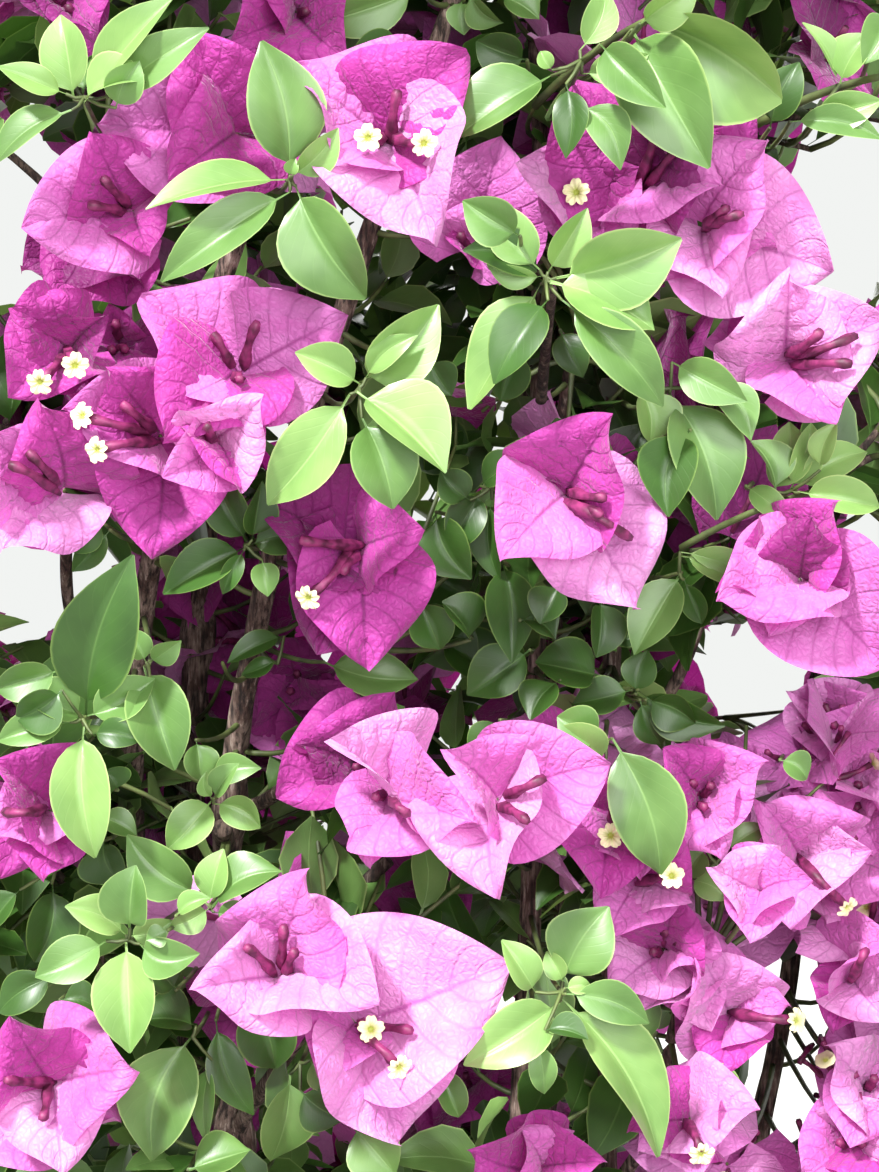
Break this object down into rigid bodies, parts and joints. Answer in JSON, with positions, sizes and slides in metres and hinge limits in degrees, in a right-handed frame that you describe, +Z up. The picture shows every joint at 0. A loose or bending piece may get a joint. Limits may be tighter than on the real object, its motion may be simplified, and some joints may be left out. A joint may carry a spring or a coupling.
{
  "type": "bougainvillea bush",
  "caption": "Whole bougainvillea bush: twining woody stems from one root crown, short boughs and masses of green leaves and magenta bracts.",
  "frame": {"origin": "middle of the flat cut under the root crown, at ground level", "axes": "+Z up along the bush, -Y towards the side that the picture shows, +X to the picture's right"},
  "size_m": [0.8008, 0.6902, 1.3725],
  "materials": {
    "bark": "rough grey-brown bark",
    "foliage": "soft glossy leaf",
    "blossom": "thin papery bract"
  },
  "bodies": {
    "root": {"back_stem": "bark", "centre_stem": "bark", "crown_tip": "foliage", "far_right_stem": "bark", "front_stem": "bark", "left_back_stem": "bark", "left_front_stem": "bark", "lower_back": "foliage", "lower_back_bough": "bark", "lower_back_left": "foliage", "lower_back_left_bough": "bark", "lower_front": "blossom", "lower_front_bough": "bark", "lower_front_right": "foliage", "lower_front_right_bough": "bark", "lower_left": "foliage", "lower_left_bough": "bark", "lower_right": "blossom", "lower_right_bough": "bark", "middle_back": "foliage", "middle_back_bough": "bark", "middle_front": "foliage", "middle_front_bough": "bark", "middle_left": "blossom", "middle_left_bough": "bark", "middle_right": "foliage", "middle_right_bough": "bark", "right_shoulder": "blossom", "right_stem": "bark", "root_crown": "bark", "skirt_back": "foliage", "skirt_back_bough": "bark", "skirt_back_left": "foliage", "skirt_back_left_bough": "bark", "skirt_front": "foliage", "skirt_front_bough": "bark", "skirt_left": "foliage", "skirt_left_bough": "bark", "skirt_right": "foliage", "skirt_right_bough": "bark", "skirt_right_front": "foliage", "skirt_right_front_bough": "bark", "top_back": "foliage", "top_front": "foliage", "top_left": "foliage", "top_right": "foliage", "upper_back": "foliage", "upper_back_bough": "bark", "upper_front": "foliage", "upper_front_bough": "bark", "upper_front_right": "foliage", "upper_front_right_bough": "bark", "upper_left": "foliage", "upper_left_bough": "bark", "upper_right": "foliage"}
  },
  "joints": []
}
